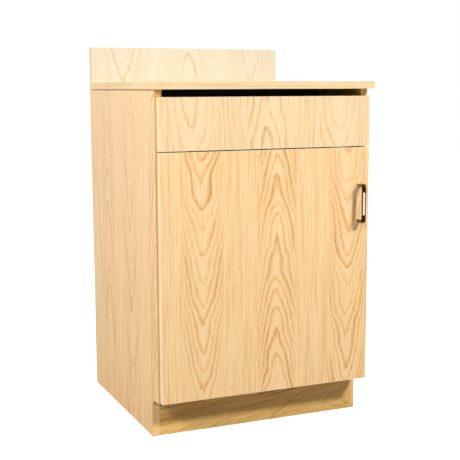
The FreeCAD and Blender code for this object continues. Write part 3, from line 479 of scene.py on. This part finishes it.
def brushed_nickel():
    """Satin nickel, brushed along the strip: a soft white metal that darkens towards its right
    side, where the darkening is a painted dark reflection."""
    material, tree, shader, place = new_material("brushed_satin_nickel")
    left_x, right_x = (corner[0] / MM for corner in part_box("handle_inlay"))
    reflection_from, reflection_to = (left_x + part * (right_x - left_x) for part in NICKEL_PAINTED_REFLECTION)
    across = add(tree, "ShaderNodeSeparateXYZ", (place,)).outputs["X"]
    painted_dark_reflection = add(tree, "ShaderNodeMapRange", {"Value": across, "From Min": reflection_from,
                                           "From Max": reflection_to})
    spread = add(tree, "ShaderNodeMapping", {"Vector": place,
                                             "Scale": tuple(1 / size for size in BRUSHING_SIZE)})
    brushing = add(tree, "ShaderNodeTexNoise", {"Vector": spread, "Scale": 1.0,
                                                "Detail": FINE_DETAIL})
    # The brushing, plus the painted dark reflection across the strip
    brushing_and_painted_reflection = add(tree, "ShaderNodeMath", (brushing, BRUSHING_TONE, painted_dark_reflection), operation="MULTIPLY_ADD")
    tone = add(tree, "ShaderNodeValToRGB", (brushing_and_painted_reflection,))
    set_ramp(tone, NICKEL_TONES)
    feed(tree, shader, {"Base Color": tone, "Metallic": 1.0, "Roughness": NICKEL_ROUGHNESS})
    return material


def two_tone_bronze():
    """Cast bronze with a dark lacquered front: the bar looks almost black from in front. Behind it,
    the feet and flanks are golden, a painted reflection of the oak door in the metal."""
    material, tree, shader, place = new_material("lacquered_bronze")
    lacquer_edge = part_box("handle_bar")[0][1] / MM + LACQUER_DEPTH
    # Painted reflection: golden behind the lacquered front, for the oak door seen in the metal
    behind = add(tree, "ShaderNodeSeparateXYZ", (place,)).outputs["Y"]
    painted_oak_reflection = add(tree, "ShaderNodeMapRange", {"Value": behind, "From Min": lacquer_edge,
                                              "From Max": lacquer_edge + OAK_REFLECTION_BLEND})
    spread = add(tree, "ShaderNodeMapping", {"Vector": place,
                                             "Scale": tuple(1 / size for size in BRONZE_BLOT)})
    cloud = add(tree, "ShaderNodeTexNoise", {"Vector": spread, "Scale": 1.0,
                                             "Detail": FINE_DETAIL})
    lacquer = add(tree, "ShaderNodeValToRGB", (cloud,))
    set_ramp(lacquer, list(zip(BRONZE_STOPS, LACQUER_TONES)))
    metal = add(tree, "ShaderNodeValToRGB", (cloud,))
    set_ramp(metal, list(zip(BRONZE_STOPS, OAK_REFLECTION_TONES)))
    tone = add(tree, "ShaderNodeMix", {0: painted_oak_reflection, 6: lacquer, 7: metal}, data_type="RGBA")
    gloss = add(tree, "ShaderNodeMapRange", {"Value": cloud, "From Min": BRONZE_STOPS[0],
                                             "From Max": BRONZE_STOPS[1],
                                             "To Min": BRONZE_ROUGHNESS[0],
                                             "To Max": BRONZE_ROUGHNESS[1]})
    feed(tree, shader, {"Base Color": tone.outputs[2], "Metallic": 1.0, "Roughness": gloss})
    return material


dress(two_tone_bronze(), "handle_bar")
dress(brushed_nickel(), "handle_inlay")


# ------------------------------------------------------------------ floor, light and background
FLOOR_SIZE = 16.0           # m
FLOOR_GREY = "#7E7E7C"      # as it lights the object
FLOOR_WHITE = "#F4F4F2"     # as the eye sees it
FLOOR_GLOW = 0.55           # its own light at the object, where shadows still show
GLOW_RISE = (0.6, 2.2)      # m from the object, over which the glow rises to a full white
AMBIENT = 0.15              # the world's light on the object
MIDDLE = (0.0, 0.0, 0.55)   # m, a point inside the station


def white_to_the_eye(tree):
    """1 for rays from the camera, a mirror or through glass, 0 for rays that light the object."""
    path = add(tree, "ShaderNodeLightPath").outputs
    seen = add(tree, "ShaderNodeMath", (path["Is Camera Ray"], path["Is Glossy Ray"]),
               operation="MAXIMUM")
    return add(tree, "ShaderNodeMath", (seen, path["Is Transmission Ray"]), operation="MAXIMUM")


def make_floor():
    """Matt painted floor: a plain white to the eye that keeps the station's soft shadow."""
    bpy.ops.object.select_all(action="DESELECT")
    bpy.ops.mesh.primitive_plane_add(size=FLOOR_SIZE)
    floor = bpy.context.object
    floor.name = "studio_floor"
    material = bpy.data.materials.new("painted_white_floor")
    material.use_nodes = True
    tree = material.node_tree
    tree.nodes.clear()
    grey = add(tree, "ShaderNodeBsdfDiffuse", {"Color": linear(FLOOR_GREY)})
    white = add(tree, "ShaderNodeBsdfDiffuse", {"Color": linear(FLOOR_WHITE)})
    place = add(tree, "ShaderNodeTexCoord").outputs["Object"]
    away = add(tree, "ShaderNodeVectorMath", (place,), operation="LENGTH").outputs["Value"]
    strength = add(tree, "ShaderNodeMapRange", {"Value": away, "From Min": GLOW_RISE[0],
                                                "From Max": GLOW_RISE[1], "To Min": FLOOR_GLOW})
    glow = add(tree, "ShaderNodeEmission", {"Strength": strength})
    lit = add(tree, "ShaderNodeAddShader", (white, glow))
    mixed = add(tree, "ShaderNodeMixShader", (white_to_the_eye(tree), grey, lit))
    add(tree, "ShaderNodeOutputMaterial", {"Surface": mixed})
    floor.data.materials.append(material)


def make_world():
    """A studio that is white to the eye and gives the object only a little light."""
    world = bpy.data.worlds.new("white_studio")
    world.use_nodes = True
    tree = world.node_tree
    tree.nodes.clear()
    strength = add(tree, "ShaderNodeMapRange", {"Value": white_to_the_eye(tree),
                                                "To Min": AMBIENT})
    sky = add(tree, "ShaderNodeBackground", {"Color": linear("#FFFFFF"), "Strength": strength})
    add(tree, "ShaderNodeOutputWorld", {"Surface": sky})
    bpy.context.scene.world = world


def soft_box(name, place, size, power, aim=MIDDLE, spread=180.0):
    """A square soft light of some watts that faces a point on the station, with its place, size
    and aim in m and its beam spread over some degrees."""
    data = bpy.data.lights.new(name, "AREA")
    data.shape = "SQUARE"
    data.size = size
    data.energy = power
    data.spread = math.radians(spread)
    light = bpy.data.objects.new(name, data)
    bpy.context.scene.collection.objects.link(light)
    facing = (Vector(aim) - Vector(place)).to_track_quat("-Z", "Y").to_matrix().to_4x4()
    light.matrix_world = Matrix.Translation(place) @ facing


make_floor()
make_world()
soft_box("key_light", (1.8, -3.2, 3.3), 0.5, 151.0)
soft_box("left_light", (-3.2, -1.6, 3.0), 1.0, 104.0)
soft_box("side_light", (-3.0, -0.9, 2.3), 1.0, 39.0)
soft_box("back_light", (0.25, 3.9, 1.5), 0.8, 11.0, aim=(0.0, 0.32, 0.5), spread=50.0)
soft_box("right_light", (3.9, 0.7, 1.5), 0.8, 6.0, aim=(0.3, 0.0, 0.5), spread=50.0)
bpy.context.scene.view_settings.view_transform = "Standard"
